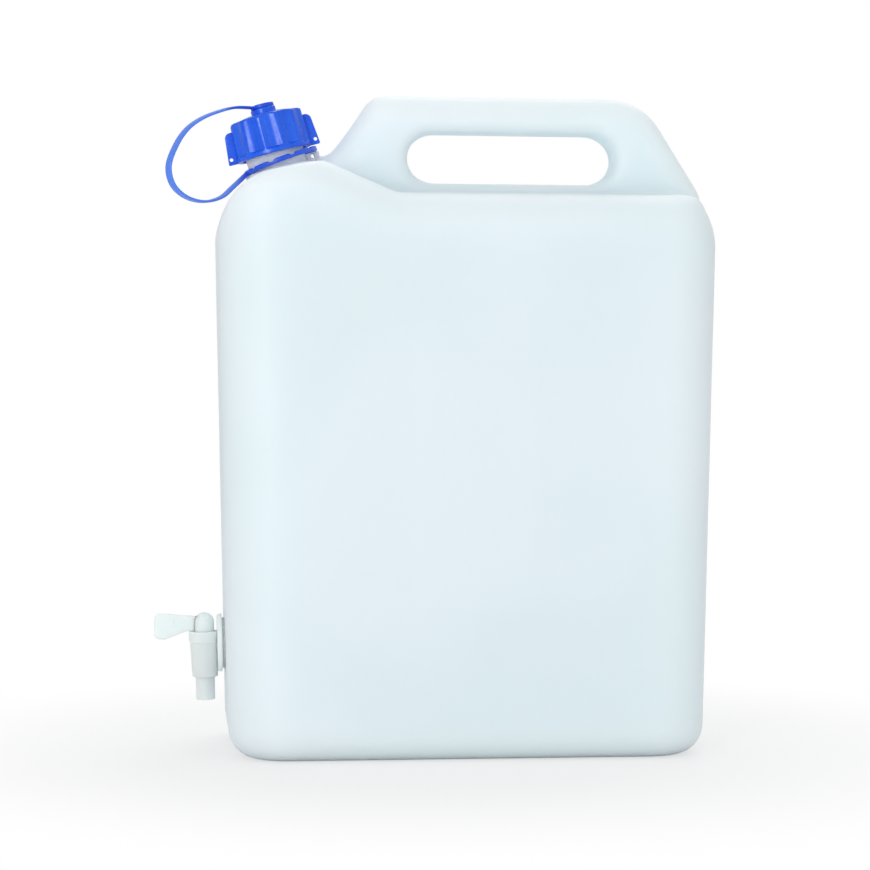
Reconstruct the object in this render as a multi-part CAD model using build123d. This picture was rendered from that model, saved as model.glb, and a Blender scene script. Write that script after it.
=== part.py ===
"""A 15 litre water canister with a screw cap on a strap and a draw-off tap.

The frame has its origin at the middle of the can's foot: +X to the right of the broad face,
+Y to the back, +Z up. All sizes are in millimetres and all angles in degrees.
"""
from build123d import *
from math import asin, atan2, cos, degrees, radians, sin, tan
import os

# Can
can_width = 300.0
can_base_width = 286.0
can_depth = 165.0
can_height = 400.0
widest_drop = 93.0
wall = 1.6
corner_radius = 35.0
foot_radius = 18.0
roof_drop = 63.0
roof_radius = 24.0

# Neck shoulder, which rises at full depth on the left of the handle
shoulder_slope = 12.5
shoulder_drop = 49.4
shoulder_radius = 40.0
shoulder_edge_radius = 10.0
cheek_top_x = -88.0
cheek_foot_x = -44.0

# Handle arch
handle_thickness = 36.0
handle_edge_radius = 14.0
handle_left_x = -56.8
handle_left_slope = 33.6
handle_left_radius = 15.0
handle_right_slope = 32.3
handle_right_drop = 60.7
handle_right_foot_radius = 20.0
handle_right_radius = 37.0
handle_root_radius = 42.0
handle_root_run = 29.0
handle_tuck = 3.0
handle_blend_radius = 5.0
grip_width = 130.0
grip_height = 31.4
grip_x = 30.2
grip_drop = 38.0
grip_rim_radius = 6.0

# Plain raised panel on each broad face
panel_width = 68.0
panel_height = 170.0
panel_z = 175.0
panel_corner_radius = 8.0
panel_rise = 0.7

# Neck, in its own frame: up along its tilted axis from the shoulder
neck_x = -110.9
neck_tilt = 15.0
neck_height = 33.8
neck_root_radius = 18.0
neck_bore_radius = 15.6
neck_chamfer = 0.8
collar_radius = 20.8
collar_height = 4.5
collar_depth = 4.5
lug_reach = 26.6
lug_height = 9.0
lug_lip = 2.0
lug_thickness = 3.0
lug_hole_drop = 2.2
seal_hole_radius = 1.1

# Screw cap
cap_base = 13.4
cap_rim_radius = 23.25
cap_crown_radius = 22.6
cap_crown_height = 36.9
cap_corner_radius = 1.6
cap_top = 40.0
cap_bore_radius = 20.3
rim_band = 2.6
flute_count = 12
flute_depth = 1.3
flute_radius = 12.0
wing_reach = 28.9
wing_top_reach = 26.9
wing_top = 33.0
wing_thickness = 2.4
wing_corner_radius = 3.5
seal_hole_inset = 2.3
seal_hole_rise = 3.3
knob_radius = 7.7
knob_height = 2.6
stem_radius = 4.2
head_radius = 5.3
head_height = 1.3

# Sealing ring under the cap's crown
gasket_radius = 19.6
gasket_bore_radius = 13.6
gasket_thickness = 1.6

# Strap: ring round the neck, band, and eyelet on the cap's knob
ring_bore_radius = 21.0
ring_wall = 2.5
ring_height = 3.0
band_width = 5.4
band_thickness = 1.8
ring_tab_angle = 15.0
eyelet_radius = 7.2
eyelet_thickness = 2.4
eyelet_recess = 1.2

# Tap, in its own frame: out from the can's left wall and up along the wall
tap_height = 64.3
inlet_radius = 4.0
inlet_wall = 2.2
flange_radius = 17.7
flange_thickness = 3.0
flange_edge_radius = 1.8
tail_radius = 9.0
tail_length = 13.0
boss_radius = 14.0
boss_depth = 10.0
washer_radius = 15.5
washer_thickness = 1.6
barrel_offset = 12.4
barrel_top = 7.3
barrel_bottom = -20.6
barrel_top_radius = 9.4
barrel_bottom_radius = 7.75
barrel_chamfer = 0.8
seat_top_radius = 7.1
seat_bottom_radius = 6.1
spout_radius = 5.8
spout_end = -34.5
spout_bore_radius = 4.2
spout_chamfer = 0.5
hub_radius = 6.1
hub_shoulder = 15.3
hub_top = 19.8
lever_reach = 30.5
lever_thickness = 3.2
lever_edge_radius = 1.0
lever_root_top = 16.5
lever_tip_top = 19.3
lever_tip_low = 3.7
lever_dip_reach = 24.5
lever_dip = 2.6
lever_neck_reach = 10.5
lever_bend_radius = 5.0
lever_heel_radius = 3.0
lever_tip_radius = 4.0

# Clearances
seat_gap = 0.1
running_gap = 0.06
turning_gap = 0.3

# Heights that follow the can's height
widest_height = can_height - widest_drop
roof_height = can_height - roof_drop
shoulder_height = can_height - shoulder_drop
handle_right_foot = can_height - handle_right_drop
grip_z = can_height - grip_drop

# Points of the strap's middle line between its eyelet and its neck ring, in the upright plane
# through both ends: distance from the eyelet's centre, and height above it
strap_bow = [
    (20.5, -1.8),
    (33.5, -4.6),
    (45.0, -9.6),
    (54.6, -17.4),
    (61.2, -28.0),
    (63.4, -39.8),
    (59.8, -50.6),
    (51.2, -57.6),
    (40.4, -59.8),
    (30.0, -57.2),
    (21.6, -50.4),
]


def side_x(z):
    """Half of the can's width at a height."""
    grown = (can_width - can_base_width) / 2
    return can_base_width / 2 + grown * z / widest_height


def shoulder_z(x):
    """Height of the sloping neck shoulder."""
    return shoulder_height + (x - neck_x) * tan(radians(shoulder_slope))


def outline(points, plane=Plane.XZ):
    """A closed face from (x, z, corner radius) triples."""
    path = FilletPolyline(
        [(x, z) for x, z, _ in points],
        radius=[radius for _, _, radius in points],
        close=True,
    )
    return make_face(plane * path)


def drawn_in(face, inset):
    """A face moved in by inset on every side."""
    if inset == 0:
        return face
    return offset(face, amount=-inset, kind=Kind.INTERSECTION)


def plate(face, inset, thickness, edge_radius):
    """A plate about the XZ plane, drawn in by inset on every side, with rounded rims."""
    solid = extrude(drawn_in(face, inset), amount=thickness / 2 - inset, both=True)
    rims = solid.faces().filter_by(Axis.Y).edges()
    return fillet(rims, edge_radius - inset)


def revolved(profile):
    """A solid of revolution about Z from (radius, z) points."""
    return revolve(make_face(Plane.XZ * Polyline(profile, close=True)), Axis.Z)


def dome_arc(radius, low, high):
    """An arc from the rim of a spherical dome to its top on the Z axis."""
    rise = high - low
    ball = (radius ** 2 + rise ** 2) / (2 * rise)
    half = asin(radius / ball) / 2
    return ThreePointArc(
        (radius, low),
        (ball * sin(half), high - ball + ball * cos(half)),
        (0, high),
    )


def neck_frame():
    """The neck's frame: origin on the shoulder, Z along the tilted neck."""
    tilt = radians(neck_tilt)
    return Plane(
        origin=(neck_x, 0, shoulder_height),
        x_dir=(cos(tilt), 0, sin(tilt)),
        z_dir=(-sin(tilt), 0, cos(tilt)),
    ).location


def tap_frame():
    """The tap's frame: origin on the left wall, X out of it and Z up along it."""
    lean = atan2(side_x(can_height) - side_x(0), can_height)
    return Plane(
        origin=(-side_x(tap_height), 0, tap_height),
        x_dir=(-cos(lean), 0, -sin(lean)),
        z_dir=(-sin(lean), 0, cos(lean)),
    ).location


def trunk(top, inset):
    """The can's tapering trunk up to a height, with its upright corners rounded."""
    face = outline([
        (-side_x(0), 0, 0),
        (side_x(0), 0, 0),
        (side_x(top), top, 0),
        (-side_x(top), top, 0),
    ])
    solid = extrude(drawn_in(face, inset), amount=can_depth / 2 - inset, both=True)
    sides = solid.faces().filter_by(lambda f: abs(f.normal_at().X) > 0.9)
    upright = sides.edges().filter_by(lambda e: e.bounding_box().size.Z > top / 2)
    return fillet(upright, corner_radius - inset)


def shoulder_block(low, inset):
    """The raised part at full depth that carries the neck, sloping down to the roof."""
    slope = tan(radians(shoulder_slope))
    grown = (side_x(can_height) - side_x(0)) / can_height
    corner_z = (shoulder_height - slope * (side_x(0) + neck_x)) / (1 + slope * grown)
    cheek_run = (cheek_foot_x - cheek_top_x) / (shoulder_z(cheek_top_x) - roof_height)
    low_x = cheek_foot_x + cheek_run * (roof_height - low)
    high_x = cheek_foot_x - cheek_run * (can_height - roof_height)
    shoulder = outline([
        (-side_x(low), low, 0),
        (low_x, low, 0),
        (low_x, shoulder_z(low_x), 0),
        (-side_x(corner_z), corner_z, shoulder_radius),
    ])
    cheek = outline([
        (-can_width, low, 0),
        (low_x, low, 0),
        (high_x, can_height, 0),
        (-can_width, can_height, 0),
    ])
    block = plate(cheek, inset, can_depth, roof_radius) & trunk(can_height, inset)
    return block & plate(shoulder, inset, can_depth, shoulder_edge_radius)


def handle_arch(low, inset):
    """The arched handle, which runs down into the can, with its grip hole."""
    right_x = side_x(handle_right_foot)
    right_run = (can_height - handle_right_foot) * tan(radians(handle_right_slope))
    left = tan(radians(handle_left_slope))
    slope = tan(radians(shoulder_slope))
    root_z = (shoulder_z(handle_left_x) - slope * left * can_height) / (1 - slope * left)
    root_x = handle_left_x - left * (can_height - root_z)
    end_x = root_x - handle_root_run
    face = outline([
        (end_x, low, 0),
        (right_x - handle_tuck, low, 0),
        (right_x, handle_right_foot, handle_right_foot_radius),
        (right_x - right_run, can_height, handle_right_radius),
        (handle_left_x, can_height, handle_left_radius),
        (root_x, root_z, handle_root_radius),
        (end_x, shoulder_z(end_x), 0),
    ])
    arch = plate(face, inset, handle_thickness, handle_edge_radius)
    slot = SlotOverall(grip_width + 2 * inset, grip_height + 2 * inset)
    hole = Plane.XZ * Pos(grip_x, grip_z) * slot
    arch -= extrude(hole, amount=handle_thickness, both=True)
    reach_x = grip_width / 2 + 2 * inset
    reach_z = grip_height / 2 + 2 * inset
    rims = arch.faces().filter_by(Axis.Y).edges().filter_by(
        lambda e: abs(e.center().X - grip_x) < reach_x and abs(e.center().Z - grip_z) < reach_z
    )
    return fillet(rims, grip_rim_radius - inset)


def can_form(inset):
    """The can's closed outer form, or the same form drawn in by inset on every side."""
    body = trunk(roof_height, inset)
    body = fillet(body.faces().sort_by(Axis.Z)[-1].edges(), roof_radius - inset)
    body = fillet(body.faces().sort_by(Axis.Z)[0].edges(), foot_radius - inset)
    low = roof_height - 2 * roof_radius
    body += shoulder_block(low, inset)
    body += handle_arch(low, inset)
    roof = roof_height - inset
    side = handle_thickness / 2 - inset
    roots = body.edges().filter_by(Axis.X).filter_by(
        lambda e: abs(e.center().Z - roof) < 0.01 and abs(abs(e.center().Y) - side) < 0.01
    )
    return fillet(roots, handle_blend_radius + inset)


def label_panels():
    """The plain raised panels, one on each broad face."""
    panel = Plane.XZ * Pos(0, panel_z) * RectangleRounded(
        panel_width, panel_height, panel_corner_radius
    )
    depth = can_depth / 2
    slab = extrude(panel, amount=depth + panel_rise, both=True)
    return slab - Pos(0, 0, panel_z) * Box(can_width, 2 * depth - wall, can_height)


def neck_tube():
    """The neck with its collar and seal lug, in the neck's frame and still without its bore."""
    tube = revolved([
        (0, -collar_depth),
        (collar_radius, -collar_depth),
        (collar_radius, collar_height - neck_chamfer),
        (collar_radius - neck_chamfer, collar_height),
        (neck_root_radius, collar_height),
        (neck_root_radius, neck_height - neck_chamfer),
        (neck_root_radius - neck_chamfer, neck_height),
        (0, neck_height),
    ])
    middle = (neck_bore_radius + neck_root_radius) / 2
    lug = extrude(
        outline([
            (middle, 0, 0),
            (collar_radius, 0, 0),
            (lug_reach, lug_height - lug_lip, 0),
            (lug_reach, lug_height, 0),
            (middle, lug_height, 0),
        ]),
        amount=lug_thickness / 2,
        both=True,
    )
    hole_x = (neck_root_radius + lug_reach) / 2
    lug -= Pos(hole_x, 0, lug_height - lug_hole_drop) * Rot(90, 0, 0) * Cylinder(
        seal_hole_radius, 2 * lug_thickness
    )
    return tube + lug


def can_body():
    """The blow-moulded can: shell, neck, handle and tapped boss in one piece."""
    cavity = can_form(wall)
    can = can_form(0) + label_panels()
    can += neck_frame() * neck_tube()
    can -= cavity - neck_frame() * Pos(0, 0, -collar_depth / 2) * Cylinder(
        collar_radius, collar_depth
    )
    bore_length = 2 * neck_height
    can -= neck_frame() * Pos(0, 0, neck_height / 2) * Cylinder(neck_bore_radius, bore_length)
    across = Rot(0, 90, 0)
    boss = Pos(-(wall / 2 + boss_depth) / 2 - wall / 2, 0, 0) * across * Cylinder(
        boss_radius, wall / 2 + boss_depth
    )
    can += tap_frame() * boss
    hole = across * Cylinder(tail_radius + turning_gap, 4 * boss_depth)
    return can - tap_frame() * hole


def flutes():
    """The grip flutes round the cap, as solids to cut away."""
    cutter = Pos(cap_rim_radius - flute_depth + flute_radius, 0, 0) * Cylinder(
        flute_radius, cap_top, align=(Align.CENTER, Align.CENTER, Align.MIN)
    )
    step = 360 / flute_count
    raised = Pos(0, 0, cap_base + rim_band)
    return [raised * Rot(0, 0, index * step) * cutter for index in range(flute_count)]


def wings():
    """The two flat grip wings with their seal holes, in the neck's frame."""
    inner = (cap_bore_radius + cap_crown_radius) / 2
    face = outline([
        (inner, cap_base, 0),
        (wing_reach, cap_base, 0),
        (wing_top_reach, wing_top, wing_corner_radius),
        (inner, wing_top, 0),
    ])
    wing = extrude(face, amount=wing_thickness / 2, both=True)
    hole = Pos(wing_reach - seal_hole_inset, 0, cap_base + seal_hole_rise)
    wing -= hole * Rot(90, 0, 0) * Cylinder(seal_hole_radius, 2 * wing_thickness)
    return [wing, Rot(0, 0, 180) * wing]


def screw_cap():
    """The cap: fluted skirt, domed crown, two wings and the knob that holds the strap."""
    ceiling = neck_height + gasket_thickness + 2 * seat_gap
    corner = cap_corner_radius
    skirt = Polyline(
        (0, ceiling),
        (cap_bore_radius, ceiling),
        (cap_bore_radius, cap_base),
        (cap_rim_radius, cap_base),
        (cap_crown_radius, cap_crown_height - corner),
    )
    crown_edge = RadiusArc(skirt @ 1, (cap_crown_radius - corner, cap_crown_height), -corner)
    dome = dome_arc(cap_crown_radius - corner, cap_crown_height, cap_top)
    closing = Line((0, cap_top), (0, ceiling))
    cap = revolve(make_face(Plane.XZ * (skirt + crown_edge + dome + closing)), Axis.Z)
    for cutter in flutes():
        cap -= cutter
    for wing in wings():
        cap += wing
    knob_top = cap_top + knob_height
    stem_top = knob_top + eyelet_thickness - eyelet_recess + 2 * seat_gap
    cap += revolved([
        (0, ceiling),
        (knob_radius, ceiling),
        (knob_radius, knob_top),
        (stem_radius, knob_top),
        (stem_radius, stem_top),
        (head_radius, stem_top),
        (head_radius, stem_top + head_height / 2),
        (stem_radius, stem_top + head_height),
        (0, stem_top + head_height),
    ])
    return neck_frame() * cap


def cap_gasket():
    """The flat sealing ring between the neck's rim and the cap's crown."""
    low = neck_height + seat_gap
    return neck_frame() * revolved([
        (gasket_bore_radius, low),
        (gasket_radius, low),
        (gasket_radius, low + gasket_thickness),
        (gasket_bore_radius, low + gasket_thickness),
    ])


def arc_radii(points):
    """The largest even arc at each inner point of a route."""
    radii = []
    for before, here, after in zip(points, points[1:], points[2:]):
        run_in = Vector(*here) - Vector(*before)
        run_out = Vector(*after) - Vector(*here)
        turn = radians(run_in.get_angle(run_out))
        radii.append(0.45 * min(run_in.length, run_out.length) / tan(turn / 2))
    return radii


def strap_ring():
    """The strap's neck ring, tilted to rest on the collar and on the seal lug, and its frame."""
    left_seat = collar_height + turning_gap
    right_seat = lug_height + turning_gap
    middle = ring_bore_radius + ring_wall / 2
    tilt = atan2(right_seat - left_seat, 2 * middle)
    lift = (left_seat + right_seat + ring_height) / 2
    inner = ring_bore_radius * cos(tilt) - ring_height / 2 * sin(tilt)
    shift = inner - neck_root_radius - turning_gap
    place = neck_frame() * Pos(shift, 0, lift) * Rot(0, -degrees(tilt), 0)
    ring = Cylinder(ring_bore_radius + ring_wall, ring_height)
    return place * (ring - Cylinder(ring_bore_radius, 2 * ring_height)), place


def strap_band(eyelet_place, ring_place):
    """The band that bows out between the eyelet's rim and a point on the neck ring."""
    angle = radians(ring_tab_angle)
    middle = ring_bore_radius + ring_wall / 2
    tab = (ring_place * Pos(-middle * cos(angle), -middle * sin(angle), 0)).position
    centre = eyelet_place.position
    reach = Vector(tab.X - centre.X, tab.Y - centre.Y, 0)
    loop = Plane(origin=centre, x_dir=reach, z_dir=reach.cross(Vector(0, 0, 1)))
    rim = (eyelet_radius + head_radius) / 2
    start = (rim, rim * tan(radians(neck_tilt)) * reach.X / reach.length)
    route = [start, *strap_bow, (reach.length, tab.Z - centre.Z)]
    path = loop * FilletPolyline(route, radius=arc_radii(route))
    across = Plane(origin=path @ 0, x_dir=loop.z_dir, z_dir=path % 0)
    return sweep(across * Rectangle(band_width, band_thickness), path=path)


def cap_strap():
    """The moulded strap: neck ring, band and eyelet in one piece."""
    bottom = cap_top + knob_height + seat_gap
    top = bottom + eyelet_thickness
    recess = top - eyelet_recess
    bore = stem_radius + turning_gap
    eyelet = neck_frame() * revolved([
        (bore, bottom),
        (eyelet_radius, bottom),
        (eyelet_radius, top),
        (head_radius + turning_gap, top),
        (head_radius + turning_gap, recess),
        (bore, recess),
    ])
    ring, ring_place = strap_ring()
    band = strap_band(neck_frame() * Pos(0, 0, (bottom + top) / 2), ring_place)
    return ring + eyelet + band


def tap_washer():
    """The sealing washer between the tap's flange and the can."""
    ring = Cylinder(washer_radius, washer_thickness) - Cylinder(
        tail_radius + turning_gap, 2 * washer_thickness
    )
    return tap_frame() * Pos(seat_gap / 2 + washer_thickness / 2, 0, 0) * Rot(0, 90, 0) * ring


def cone(low, high, low_radius, high_radius):
    """A solid cone or cylinder about Z between two heights."""
    return revolved([(0, low), (low_radius, low), (high_radius, high), (0, high)])


def tap_body():
    """The tap's body: threaded tail, flange and tapered barrel in one piece."""
    flange_low = washer_thickness + seat_gap
    across = Rot(0, 90, 0)
    tail = Pos((flange_low - tail_length) / 2, 0, 0) * across * Cylinder(
        tail_radius, flange_low + tail_length
    )
    flange = across * Cylinder(
        flange_radius, flange_thickness, align=(Align.CENTER, Align.CENTER, Align.MIN)
    )
    flange = fillet(flange.edges().sort_by(Axis.X)[-1], flange_edge_radius)
    body = Pos(flange_low, 0, 0) * flange + tail
    barrel = Pos(barrel_offset, 0, 0) * cone(
        barrel_bottom, barrel_top, barrel_bottom_radius, barrel_top_radius
    )
    body += chamfer(barrel.edges().sort_by(Axis.Z)[0], barrel_chamfer)
    inlet = Pos(barrel_offset / 2, 0, 0) * across * Cylinder(
        inlet_radius + inlet_wall, barrel_offset
    )
    body += inlet
    body -= Pos(barrel_offset, 0, 0) * cone(
        barrel_bottom, barrel_top, seat_bottom_radius, seat_top_radius
    )
    way = barrel_offset + tail_length
    body -= Pos(barrel_offset - way / 2, 0, 0) * across * Cylinder(inlet_radius, way)
    return tap_frame() * body


def tap_lever():
    """The thumb lever, in the plug's frame: a flat blade that widens to its tip."""
    root = hub_radius / 3
    low = barrel_top + turning_gap
    face = outline([
        (root, low, 0),
        (lever_neck_reach, low, lever_bend_radius),
        (lever_dip_reach, lever_dip, lever_bend_radius),
        (lever_reach, lever_tip_low, lever_heel_radius),
        (lever_reach, lever_tip_top, lever_tip_radius),
        (root, lever_root_top, 0),
    ])
    blade = extrude(face, amount=lever_thickness / 2, both=True)
    rims = blade.faces().filter_by(Axis.Y).edges().filter_by(
        lambda e: e.center().X > hub_radius / 2
    )
    return fillet(rims, lever_edge_radius)


def tap_plug():
    """The turning key of the tap: ported plug, spout, hub and lever in one piece."""
    plug = cone(
        barrel_bottom, barrel_top,
        seat_bottom_radius - running_gap, seat_top_radius - running_gap,
    )
    spout = cone(spout_end, barrel_bottom, spout_radius, spout_radius)
    plug += chamfer(spout.edges().sort_by(Axis.Z)[0], spout_chamfer)
    side = Polyline((0, barrel_top), (hub_radius, barrel_top), (hub_radius, hub_shoulder))
    dome = dome_arc(hub_radius, hub_shoulder, hub_top)
    closing = Line((0, hub_top), (0, barrel_top))
    plug += revolve(make_face(Plane.XZ * (side + dome + closing)), Axis.Z)
    plug += tap_lever()
    way = inlet_radius + running_gap
    plug -= cone(spout_end, way, spout_bore_radius, spout_bore_radius)
    plug -= Pos(0, seat_top_radius / 2, 0) * Rot(90, 0, 0) * Cylinder(
        inlet_radius, 2 * seat_top_radius
    )
    return tap_frame() * Pos(barrel_offset, 0, 0) * plug


def main():
    nodes = {
        "can_body": can_body(),
        "screw_cap": screw_cap(),
        "cap_gasket": cap_gasket(),
        "cap_strap": cap_strap(),
        "tap_body": tap_body(),
        "tap_plug": tap_plug(),
        "tap_washer": tap_washer(),
    }
    os.makedirs("parts", exist_ok=True)
    for name, solid in nodes.items():
        export_step(solid, f"parts/{name}.step")


main()
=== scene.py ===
"""A 15 litre water canister with a screw cap on a strap and a draw-off tap, dressed on its frame.

All sizes are in metres and all angles in radians, unless a name says degrees.
"""
from math import asin, atan2, cos, pi, radians, sin, sqrt, tan

import bmesh
import bpy
from mathutils import Matrix, Vector


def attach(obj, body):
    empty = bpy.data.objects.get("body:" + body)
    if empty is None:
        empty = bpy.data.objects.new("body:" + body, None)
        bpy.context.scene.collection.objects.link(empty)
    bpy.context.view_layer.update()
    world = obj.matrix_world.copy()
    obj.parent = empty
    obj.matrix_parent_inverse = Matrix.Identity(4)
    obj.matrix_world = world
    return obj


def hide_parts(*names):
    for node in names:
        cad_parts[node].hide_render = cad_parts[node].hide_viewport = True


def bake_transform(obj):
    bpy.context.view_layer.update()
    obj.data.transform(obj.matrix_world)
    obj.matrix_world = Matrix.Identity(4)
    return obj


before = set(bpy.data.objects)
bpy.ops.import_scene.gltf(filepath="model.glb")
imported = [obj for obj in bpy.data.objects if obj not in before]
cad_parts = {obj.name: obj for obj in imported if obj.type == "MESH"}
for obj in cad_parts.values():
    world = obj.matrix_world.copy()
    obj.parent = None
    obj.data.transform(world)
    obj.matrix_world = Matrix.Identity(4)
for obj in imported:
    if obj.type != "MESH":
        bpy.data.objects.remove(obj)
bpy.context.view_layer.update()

# Camera, fitted to the outline in the photograph, which is 870 pixels wide
IMAGE_WIDTH = 870.0
FOCAL_PIXELS = 2572.7
SENSOR_WIDTH = 36.0
CAMERA_TARGET = Vector((0.0, 0.0, 0.2))
CAMERA_DISTANCE = 1.5933
CAMERA_AZIMUTH = radians(6.382)
CAMERA_ELEVATION = radians(0.759)
CAMERA_ROLL = radians(0.162)
TARGET_PIXEL = (459.4, 421.5)

# Can
CAN_BASE_HALF = 0.143
CAN_GROWTH = 0.007 / 0.307
CAN_VOXEL = 0.00225
CAN_SMOOTHING = 6
NECK_CUT_RADIUS = 0.0212
NECK_CUT_HEIGHT = 0.06
NECK_PLUG_RADIUS = 0.0172
NECK_PLUG_DEPTH = 0.010
TAP_PLUG_RADIUS = 0.0105
TAP_PLUG_DEPTH = 0.014
TAP_PLUG_SETBACK = 0.0002

# The creases are filled above a height and right of the neck, with a soft start
CREASE_SMOOTHING = 200
CREASE_EVENING = 3
CREASE_LOW = 0.300
CREASE_HIGH = 0.325
CREASE_LEFT = -0.075
CREASE_RIGHT = -0.020

# Small corrections of the can's outline: the centre, reach and move of each
OUTLINE_PUSHES = [
    ((0.138, -0.050, 0.338), (0.026, 0.034, 0.011), (0.0028, 0, 0.0016)),
    ((0.138, 0.050, 0.338), (0.026, 0.034, 0.011), (0.0028, 0, 0.0016)),
    ((0.150, -0.062, 0.321), (0.026, 0.050, 0.014), (-0.0015, 0, 0)),
    ((0.150, 0.062, 0.321), (0.026, 0.050, 0.014), (-0.0015, 0, 0)),
    ((-0.060, 0, 0.382), (0.036, 0.050, 0.040), (0.0019, 0, 0)),
]

# Clearances
SEAT_GAP = 0.0001
RUNNING_GAP = 0.00006
TURNING_GAP = 0.0003

# Neck, in its own frame: up along its tilted axis from the shoulder
SHOULDER_SLOPE = radians(12.5)
SHOULDER_TOP = 0.3506
NECK_X = -0.1109
NECK_TILT = radians(15.0)
NECK_HEIGHT = 0.0338
NECK_RADIUS = 0.018
NECK_BORE = 0.0156
COLLAR_RADIUS = 0.0208
COLLAR_HEIGHT = 0.0045
COLLAR_DEPTH = 0.0035
LUG_REACH = 0.0266
LUG_HEIGHT = 0.009
LUG_LIP = 0.002
LUG_ROOT = 0.001
LUG_THICKNESS = 0.0031
LUG_HOLE_X = 0.0223
LUG_HOLE_Z = 0.0068
THREAD_PITCH = 0.006
THREAD_LOW = 0.0165
THREAD_HIGH = 0.0305
THREAD_DEPTH = 0.0015
CAP_THREAD_DEPTH = 0.0013
CAP_THREAD_START = 0.003
CAP_THREAD_END = 0.002

# Screw cap
CAP_BASE = 0.0134
CAP_RIM_RADIUS = 0.02325
CAP_CROWN_RADIUS = 0.0226
CAP_CROWN_HEIGHT = 0.0369
CAP_CORNER = 0.0016
CAP_TOP = 0.040
CAP_BORE = 0.0203
CAP_CEILING = 0.0356
CAP_WALL_STEP = 0.0005
CEILING_START = 0.004
CROWN_SLOPE_RUN = 0.004
CROWN_SLOPE_RISE = 0.0012
RIM_BAND = 0.0026
RIM_BLEND = 0.0009
FLUTE_COUNT = 12
FLUTE_DEPTH = 0.0019
FLUTE_RADIUS = 0.0105
FLUTE_SOFTNESS = 0.0009
WING_REACH = 0.0289
WING_TOP_REACH = 0.0269
WING_TOP = 0.033
WING_THICKNESS = 0.0024
WING_CORNER = 0.0035
WING_HOLE_X = 0.0266
WING_HOLE_Z = 0.0167
HOLE_RADIUS = 0.0011
KNOB_RADIUS = 0.0077
KNOB_HEIGHT = 0.0026
STEM_RADIUS = 0.0042
HEAD_RADIUS = 0.0053
HEAD_HEIGHT = 0.0013

# Strap
RING_BORE = 0.021
RING_WALL = 0.0025
RING_HEIGHT = 0.003
RING_TAB_ANGLE = radians(15.0)
RING_NOTCHES = 10
RING_NOTCH_WIDTH = 0.0036
RING_NOTCH_DEPTH = 0.0012
RING_NOTCH_RAMP = 0.0008
BAND_WIDTH = 0.0054
BAND_THICKNESS = 0.0016
BAND_EDGE = 0.0006
BAND_STEPS = 10
EYELET_RADIUS = 0.0072
EYELET_THICKNESS = 0.0024
EYELET_RECESS = 0.0012

# The band's route as seen from the front: how far out from the eyelet and how high
STRAP_BOW = [
    (0.0205, -0.0022),
    (0.0335, -0.0058),
    (0.0455, -0.0108),
    (0.0556, -0.0178),
    (0.0632, -0.0276),
    (0.0684, -0.0402),
    (0.0656, -0.0512),
    (0.0562, -0.0582),
    (0.0432, -0.0604),
    (0.0306, -0.0572),
    (0.0216, -0.0504),
]

# Tap, in its own frame: out from the can's left wall and up along the wall
TAP_HEIGHT = 0.0643
FLANGE_LOW = 0.0017
FLANGE_RADIUS = 0.0177
FLANGE_THICKNESS = 0.003
TAIL_RADIUS = 0.009
TAIL_LENGTH = 0.013
TAIL_PITCH = 0.0025
TAIL_DEPTH = 0.0006
INLET_RADIUS = 0.004
INLET_WALL = 0.0022
BARREL_OFFSET = 0.0124
BARREL_TOP = 0.0073
BARREL_BOTTOM = -0.0206
BARREL_TOP_RADIUS = 0.0094
BARREL_BOTTOM_RADIUS = 0.00775
BARREL_BAND = 0.0064
BARREL_BAND_RAMP = 0.0004
BARREL_BAND_RISE = 0.0001
BARREL_BAND_STEP = 0.0005
WEB_THICKNESS = 0.0022
WEB_EDGE = 0.0005
WEB_ROOT = 0.001
WEB_FOOT_LOW = -0.0148
WEB_FOOT_RISE = 0.0020
WEB_END_LOW = -0.0128
WEB_END_DROP = 0.0010
WEB_END_SLOPE = (0.0002, 0.0003)
SEAT_TOP_RADIUS = 0.0071
SEAT_BOTTOM_RADIUS = 0.0061
SPOUT_RADIUS = 0.0058
SPOUT_END = -0.0345
SPOUT_BORE = 0.0042
HUB_RADIUS = 0.0061
HUB_SHOULDER = 0.0128
HUB_TOP = 0.0188
LEVER_REACH = 0.0305
LEVER_THICKNESS = 0.0032
LEVER_EDGE = 0.0011
LEVER_STEP = 0.001
LEVER_NECK = (0.0105, BARREL_TOP + TURNING_GAP, 0.005)
LEVER_BELLY = (0.0245, 0.0026, 0.005)
LEVER_FOOT = (LEVER_REACH, 0.0037, 0.003)
LEVER_TIP = (LEVER_REACH, 0.0193, 0.004)
LEVER_ROOT_TOP = 0.0165
MARK_X = 0.0182
MARK_Z = 0.0128
MARK_WIDTH = 0.0009
MARK_LENGTH = 0.0052
MARK_RISE = 0.0002

# Threads, as shares of the pitch: half of the ridge's foot, and one flank
THREAD_FOOT = 0.30
THREAD_FLANK = 0.16

# Meshes
WELD = 1e-7
CAD_WELD = 1e-6
ON_WALL = 1e-6
PIECE_SHARP = radians(38)
SHELL_SHARP = radians(80)
HOLE_STEPS = 20
LEAST_MITRE = 0.3

# Stage
FLOOR_SIZE = 6.0
FLOOR_NEAR = 0.16
FLOOR_FAR = 0.42
FLOOR_NEAR_GLOW = 0.6
WHITE = (1, 1, 1, 1)
WORLD_FILL = 0.65
LAMPS = [
    ("key", (-1.1, -2.1, 0.55), 0.7, 15.5),
    ("fill", (1.1, -2.1, 0.12), 1.2, 8.0),
    ("back", (0.3, 0.9, 1.7), 1.3, 10.0),
]


def frame_matrix(origin, x_dir, z_dir):
    """A matrix from an origin and two unit directions."""
    x_axis = Vector(x_dir)
    z_axis = Vector(z_dir)
    y_axis = z_axis.cross(x_axis)
    matrix = Matrix((x_axis, y_axis, z_axis)).transposed().to_4x4()
    matrix.translation = Vector(origin)
    return matrix


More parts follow.
